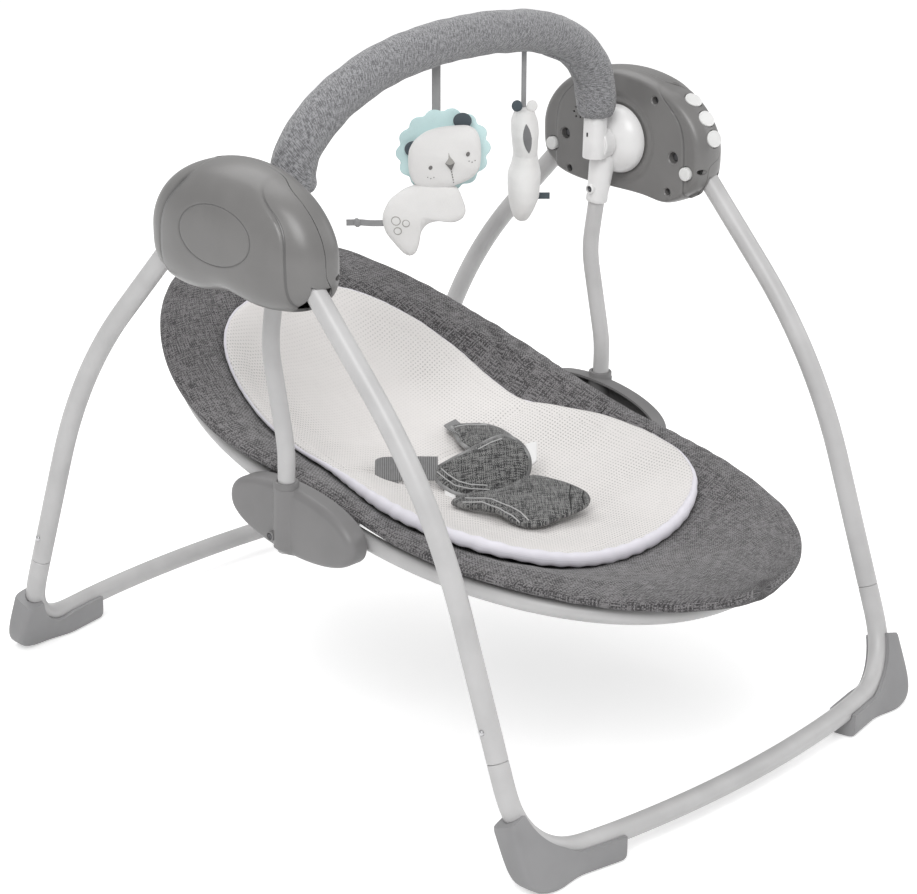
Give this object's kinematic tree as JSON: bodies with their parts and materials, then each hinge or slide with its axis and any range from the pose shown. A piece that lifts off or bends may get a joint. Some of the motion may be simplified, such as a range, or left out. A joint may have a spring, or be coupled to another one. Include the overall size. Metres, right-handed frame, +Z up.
{
  "type": "electric baby swing",
  "caption": "Folding tube frame with two drive hubs, a hung padded reclining seat with a harness, and a padded toy bar with plush toys.",
  "frame": {"origin": "on the floor, midway between the hubs and between the front and rear feet, below the swing axle", "axes": "+X along the swing axle towards the hub with the controls, +Y towards the head end of the seat, +Z up"},
  "size_m": [0.5934, 0.7548, 0.6523],
  "materials": {
    "grey_plastic": "fine moulded grain",
    "painted_tube": "satin powder coat",
    "white_plastic": "glossy",
    "grey_cloth": "melange weave",
    "mesh_cloth": "spacer mesh",
    "bar_jersey": "melange jersey",
    "plush": "short plush",
    "aqua_felt": "short plush",
    "steel": "zinc plated",
    "black_plastic": "matt",
    "copper_wire": "enamelled wire",
    "board": "solder mask"
  },
  "bodies": {
    "hubs": {"left_axle_bush": "white_plastic", "left_hub_inner_shell": "grey_plastic", "left_hub_outer_shell": "grey_plastic", "right_axle_bush": "white_plastic", "right_hub_inner_shell": "grey_plastic", "right_hub_outer_shell": "grey_plastic", "circuit_board": "board", "drive_coil": "copper_wire", "speaker": "black_plastic", "power_inlet": "black_plastic"},
    "front_frame": {"left_front_leg": "painted_tube", "right_front_leg": "painted_tube", "left_front_foot": "grey_plastic", "right_front_foot": "grey_plastic", "front_base_tube": "painted_tube"},
    "rear_frame": {"left_rear_leg": "painted_tube", "right_rear_leg": "painted_tube", "left_rear_foot": "grey_plastic", "right_rear_foot": "grey_plastic", "rear_base_tube": "painted_tube"},
    "swing": {"left_hanger_cap": "white_plastic", "right_hanger_cap": "white_plastic", "left_hanger_tube": "painted_tube", "right_hanger_tube": "painted_tube", "left_hanger_screw": "steel", "right_hanger_screw": "steel", "left_bracket_cover": "grey_plastic", "right_bracket_cover": "grey_plastic", "magnet_arm": "black_plastic"},
    "seat": {"left_bracket_plate": "grey_plastic", "right_bracket_plate": "grey_plastic", "seat_front_tube": "painted_tube", "seat_back_tube": "painted_tube", "seat_cover": "grey_cloth", "seat_insert": "mesh_cloth", "left_waist_pad": "grey_cloth", "right_waist_pad": "grey_cloth", "crotch_pad": "grey_cloth", "harness_buckle": "white_plastic"},
    "toy_bar": {"left_toy_bar_clip": "white_plastic", "right_toy_bar_clip": "white_plastic", "toy_bar_rod": "steel", "toy_bar_cover": "bar_jersey"},
    "lion": {"lion_mane": "aqua_felt", "lion_head": "plush", "lion_body": "plush"},
    "bear": {"bear_head": "plush", "bear_body": "plush"},
    "speed_button_body": {"speed_button": "white_plastic"},
    "timer_button_body": {"timer_button": "white_plastic"},
    "music_button_body": {"music_button": "white_plastic"},
    "left_front_fold_button_body": {"left_front_fold_button": "white_plastic"},
    "left_rear_fold_button_body": {"left_rear_fold_button": "white_plastic"},
    "right_front_fold_button_body": {"right_front_fold_button": "white_plastic"},
    "right_rear_fold_button_body": {"right_rear_fold_button": "white_plastic"},
    "left_front_snap_button_body": {"left_front_snap_button": "steel"},
    "left_rear_snap_button_body": {"left_rear_snap_button": "steel"},
    "right_front_snap_button_body": {"right_front_snap_button": "steel"},
    "right_rear_snap_button_body": {"right_rear_snap_button": "steel"}
  },
  "joints": [
    {"name": "front_frame_fold", "type": "hinge", "parent": "hubs", "child": "front_frame", "pos_m": [0, -0.072, 0.4954], "axis": [1, 0, 0], "range_deg": [0, 28]},
    {"name": "rear_frame_fold", "type": "hinge", "parent": "hubs", "child": "rear_frame", "pos_m": [0, 0.072, 0.4954], "axis": [-1, 0, 0], "range_deg": [0, 28]},
    {"name": "swing_axle", "type": "hinge", "parent": "hubs", "child": "swing", "pos_m": [0, 0, 0.5], "axis": [1, 0, 0], "range_deg": [-15, 15]},
    {"name": "seat_recline", "type": "hinge", "parent": "swing", "child": "seat", "pos_m": [0, 0, 0.226], "axis": [1, 0, 0], "range_deg": [0, 12]},
    {"name": "toy_bar_turn", "type": "hinge", "parent": "swing", "child": "toy_bar", "pos_m": [0, 0, 0.5], "axis": [1, 0, 0], "range_deg": [-60, 60]},
    {"name": "lion_swing", "type": "hinge", "parent": "toy_bar", "child": "lion", "pos_m": [-0.01771, 0.00237, 0.6132], "axis": [0.7193, -0.6947, 0], "range_deg": [-30, 30]},
    {"name": "bear_swing", "type": "hinge", "parent": "toy_bar", "child": "bear", "pos_m": [0.097, 0, 0.60623], "axis": [0.7193, -0.6947, 0], "range_deg": [-30, 30]},
    {"name": "speed_button_press", "type": "slide", "parent": "hubs", "child": "speed_button_body", "axis": [0, 0.5759, -0.8175], "range_m": [0, 0.0015], "stiffness_N_per_m": 300, "springref_m": -0.001},
    {"name": "timer_button_press", "type": "slide", "parent": "hubs", "child": "timer_button_body", "axis": [0, 0.7816, -0.6238], "range_m": [0, 0.0015], "stiffness_N_per_m": 300, "springref_m": -0.001},
    {"name": "music_button_press", "type": "slide", "parent": "hubs", "child": "music_button_body", "axis": [0, 0.947, -0.3213], "range_m": [0, 0.0015], "stiffness_N_per_m": 300, "springref_m": -0.001},
    {"name": "left_front_fold_button_press", "type": "slide", "parent": "hubs", "child": "left_front_fold_button_body", "axis": [-1, 0, 0], "range_m": [0, 0.003], "stiffness_N_per_m": 300, "springref_m": -0.001},
    {"name": "left_rear_fold_button_press", "type": "slide", "parent": "hubs", "child": "left_rear_fold_button_body", "axis": [-1, 0, 0], "range_m": [0, 0.003], "stiffness_N_per_m": 300, "springref_m": -0.001},
    {"name": "right_front_fold_button_press", "type": "slide", "parent": "hubs", "child": "right_front_fold_button_body", "axis": [1, 0, 0], "range_m": [0, 0.003], "stiffness_N_per_m": 300, "springref_m": -0.001},
    {"name": "right_rear_fold_button_press", "type": "slide", "parent": "hubs", "child": "right_rear_fold_button_body", "axis": [1, 0, 0], "range_m": [0, 0.003], "stiffness_N_per_m": 300, "springref_m": -0.001},
    {"name": "left_front_snap_button_press", "type": "slide", "parent": "front_frame", "child": "left_front_snap_button_body", "axis": [1, 0, 0], "range_m": [0, 0.0022], "stiffness_N_per_m": 300, "springref_m": -0.001},
    {"name": "left_rear_snap_button_press", "type": "slide", "parent": "rear_frame", "child": "left_rear_snap_button_body", "axis": [1, 0, 0], "range_m": [0, 0.0022], "stiffness_N_per_m": 300, "springref_m": -0.001},
    {"name": "right_front_snap_button_press", "type": "slide", "parent": "front_frame", "child": "right_front_snap_button_body", "axis": [-1, 0, 0], "range_m": [0, 0.0022], "stiffness_N_per_m": 300, "springref_m": -0.001},
    {"name": "right_rear_snap_button_press", "type": "slide", "parent": "rear_frame", "child": "right_rear_snap_button_body", "axis": [-1, 0, 0], "range_m": [0, 0.0022], "stiffness_N_per_m": 300, "springref_m": -0.001}
  ]
}
